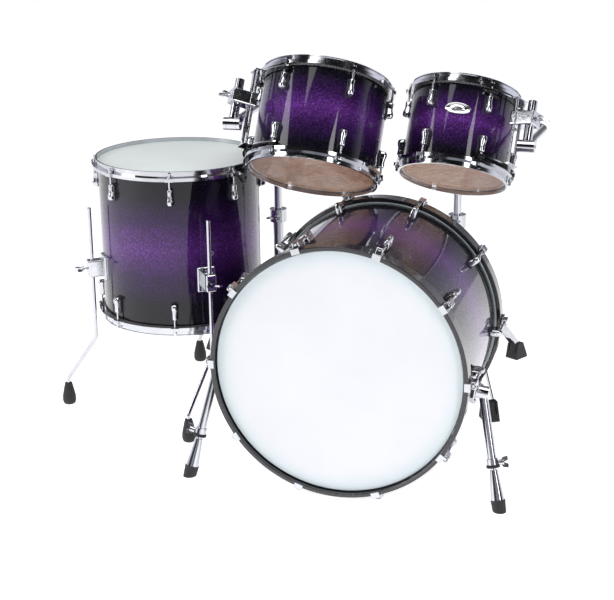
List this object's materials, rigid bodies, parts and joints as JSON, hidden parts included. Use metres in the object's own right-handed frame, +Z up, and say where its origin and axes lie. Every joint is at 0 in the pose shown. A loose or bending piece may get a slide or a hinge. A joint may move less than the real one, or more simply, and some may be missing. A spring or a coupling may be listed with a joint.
{
  "type": "acoustic drum kit",
  "caption": "Acoustic drum kit shell pack: bass drum with folding spurs, floor tom on legs and rack toms on tripod stands, purple sparkle finish, chrome hardware.",
  "frame": {"origin": "bottom centre of the kit's box, on the floor", "axes": "+Z up, bass drum axis along Y with its front head towards -Y, +X to the right seen from the front"},
  "size_m": [1.2302, 1.0512, 0.934],
  "materials": {
    "sparkle_lacquer": "gloss purple sparkle lacquer fading to black at both edges, over wood plies",
    "black_wood": "gloss black lacquer",
    "white_film": "smooth white polyester film",
    "clear_film": "clear polyester film",
    "chrome": "polished chrome plate",
    "rubber": "moulded rubber",
    "isolator_rubber": "soft isolating rubber"
  },
  "bodies": {
    "root": {"bass_shell": "sparkle_lacquer", "bass_heads": "white_film", "bass_hoops": "black_wood", "bass_claws": "chrome", "bass_tension_rods": "chrome", "bass_lugs": "chrome", "spur_brackets": "chrome", "floor_tom_shell": "sparkle_lacquer", "floor_tom_hoops": "chrome", "floor_tom_lugs": "chrome", "floor_tom_tension_rods": "chrome", "floor_tom_batter_head": "white_film", "floor_tom_bottom_head": "clear_film", "floor_tom_vent": "chrome", "floor_tom_leg_brackets": "chrome", "stand_left_base": "chrome", "stand_left_feet": "rubber", "stand_right_base": "chrome", "stand_right_feet": "rubber"},
    "spur_right": {"spur_tube_right": "chrome"},
    "spur_foot_right": {"spur_rod_right": "chrome", "spur_tip_right": "rubber"},
    "spur_wing_right": {"spur_wing_right": "chrome"},
    "spur_left": {"spur_tube_left": "chrome"},
    "spur_foot_left": {"spur_rod_left": "chrome", "spur_tip_left": "rubber"},
    "spur_wing_left": {"spur_wing_left": "chrome"},
    "floor_leg_left": {"floor_leg_rod_left": "chrome", "floor_leg_foot_left": "rubber"},
    "floor_leg_wing_left": {"floor_leg_wing_left": "chrome"},
    "floor_leg_right": {"floor_leg_rod_right": "chrome", "floor_leg_foot_right": "rubber"},
    "floor_leg_wing_right": {"floor_leg_wing_right": "chrome"},
    "floor_leg_rear": {"floor_leg_rod_rear": "chrome", "floor_leg_foot_rear": "rubber"},
    "floor_leg_wing_rear": {"floor_leg_wing_rear": "chrome"},
    "stand_mast_left": {"stand_left_mast": "chrome"},
    "stand_wing_left": {"stand_left_wing": "chrome"},
    "tom_arm_left": {"stand_left_tom_arm": "chrome"},
    "tom_12": {"tom_12_shell": "sparkle_lacquer", "tom_12_hoops": "chrome", "tom_12_lugs": "chrome", "tom_12_tension_rods": "chrome", "tom_12_heads": "clear_film", "tom_12_isolators": "isolator_rubber", "tom_12_mount": "chrome", "tom_12_vent": "chrome"},
    "tom_12_clamp_wing": {"tom_12_clamp_wing": "chrome"},
    "stand_mast_right": {"stand_right_mast": "chrome"},
    "stand_wing_right": {"stand_right_wing": "chrome"},
    "tom_arm_right": {"stand_right_tom_arm": "chrome"},
    "tom_10": {"tom_10_shell": "sparkle_lacquer", "tom_10_hoops": "chrome", "tom_10_lugs": "chrome", "tom_10_tension_rods": "chrome", "tom_10_heads": "clear_film", "tom_10_isolators": "isolator_rubber", "tom_10_mount": "chrome", "tom_10_badge": "chrome"},
    "tom_10_clamp_wing": {"tom_10_clamp_wing": "chrome"}
  },
  "joints": [
    {"name": "spur_right_fold", "type": "hinge", "parent": "root", "child": "spur_right", "pos_m": [0.53976, -0.43038, 0.25139], "axis": [0.9903, 0, -0.1392], "range_deg": [0, 85]},
    {"name": "spur_right_extend", "type": "slide", "parent": "spur_right", "child": "spur_foot_right", "axis": [0.2043, -0.2347, -0.9503], "range_m": [-0.005, 0.06]},
    {"name": "spur_right_wing_turn", "type": "hinge", "parent": "spur_right", "child": "spur_wing_right", "pos_m": [0.5781, -0.46722, 0.10352], "axis": [0.9778, 0.0023, 0.2096], "range_deg": [-180, 180]},
    {"name": "spur_left_fold", "type": "hinge", "parent": "root", "child": "spur_left", "pos_m": [-0.07817, -0.43038, 0.25139], "axis": [0.9903, 0, 0.1392], "range_deg": [0, 85]},
    {"name": "spur_left_extend", "type": "slide", "parent": "spur_left", "child": "spur_foot_left", "axis": [-0.2043, -0.2347, -0.9503], "range_m": [-0.005, 0.06]},
    {"name": "spur_left_wing_turn", "type": "hinge", "parent": "spur_left", "child": "spur_wing_left", "pos_m": [-0.1165, -0.46722, 0.10352], "axis": [-0.9778, 0.0023, 0.2096], "range_deg": [-180, 180]},
    {"name": "floor_leg_left_height", "type": "slide", "parent": "root", "child": "floor_leg_left", "axis": [0, 0, 1], "range_m": [-0.1, 0.11]},
    {"name": "floor_leg_left_wing_turn", "type": "hinge", "parent": "root", "child": "floor_leg_wing_left", "pos_m": [-0.50588, -0.17046, 0.38401], "axis": [-0.7934, -0.6088, 0], "range_deg": [-180, 180]},
    {"name": "floor_leg_right_height", "type": "slide", "parent": "root", "child": "floor_leg_right", "axis": [0, 0, 1], "range_m": [-0.1, 0.11]},
    {"name": "floor_leg_right_wing_turn", "type": "hinge", "parent": "root", "child": "floor_leg_wing_right", "pos_m": [-0.16713, -0.21506, 0.38401], "axis": [0.6088, -0.7934, 0], "range_deg": [-180, 180]},
    {"name": "floor_leg_rear_height", "type": "slide", "parent": "root", "child": "floor_leg_rear", "axis": [0, 0, 1], "range_m": [-0.1, 0.11]},
    {"name": "floor_leg_rear_wing_turn", "type": "hinge", "parent": "root", "child": "floor_leg_wing_rear", "pos_m": [-0.28267, 0.21615, 0.38401], "axis": [0.1305, 0.9914, 0], "range_deg": [-180, 180]},
    {"name": "stand_left_height", "type": "slide", "parent": "root", "child": "stand_mast_left", "axis": [0, 0, 1], "range_m": [0, 0.12]},
    {"name": "stand_left_wing_turn", "type": "hinge", "parent": "root", "child": "stand_wing_left", "pos_m": [-0.1232, 0.19102, 0.45301], "axis": [0, -1, 0], "range_deg": [-180, 180]},
    {"name": "tom_12_tilt", "type": "hinge", "parent": "stand_mast_left", "child": "tom_arm_left", "pos_m": [-0.10701, -0.19628, 0.77508], "axis": [0.9982, 0.0599, 0], "range_deg": [0, 25]},
    {"name": "tom_12_slide", "type": "slide", "parent": "tom_arm_left", "child": "tom_12", "axis": [0.029, 0.5022, 0.8643], "range_m": [0, 0.025]},
    {"name": "tom_12_clamp_wing_turn", "type": "hinge", "parent": "tom_12", "child": "tom_12_clamp_wing", "pos_m": [-0.11436, -0.16903, 0.83586], "axis": [-0.7987, -0.5083, 0.3221], "range_deg": [-180, 180]},
    {"name": "stand_right_height", "type": "slide", "parent": "root", "child": "stand_mast_right", "axis": [0, 0, 1], "range_m": [0, 0.12]},
    {"name": "stand_right_wing_turn", "type": "hinge", "parent": "root", "child": "stand_wing_right", "pos_m": [0.3508, 0.24602, 0.45301], "axis": [0, -1, 0], "range_deg": [-180, 180]},
    {"name": "tom_10_tilt", "type": "hinge", "parent": "stand_mast_right", "child": "tom_arm_right", "pos_m": [0.56703, -0.06312, 0.72623], "axis": [0.9982, -0.0599, 0], "range_deg": [0, 25]},
    {"name": "tom_10_slide", "type": "slide", "parent": "tom_arm_right", "child": "tom_10", "axis": [0.049, 0.4882, 0.8714], "range_m": [0, 0.025]},
    {"name": "tom_10_clamp_wing_turn", "type": "hinge", "parent": "tom_10", "child": "tom_10_clamp_wing", "pos_m": [0.58082, -0.03533, 0.78563], "axis": [0.9094, -0.3826, 0.1632], "range_deg": [-180, 180]}
  ]
}
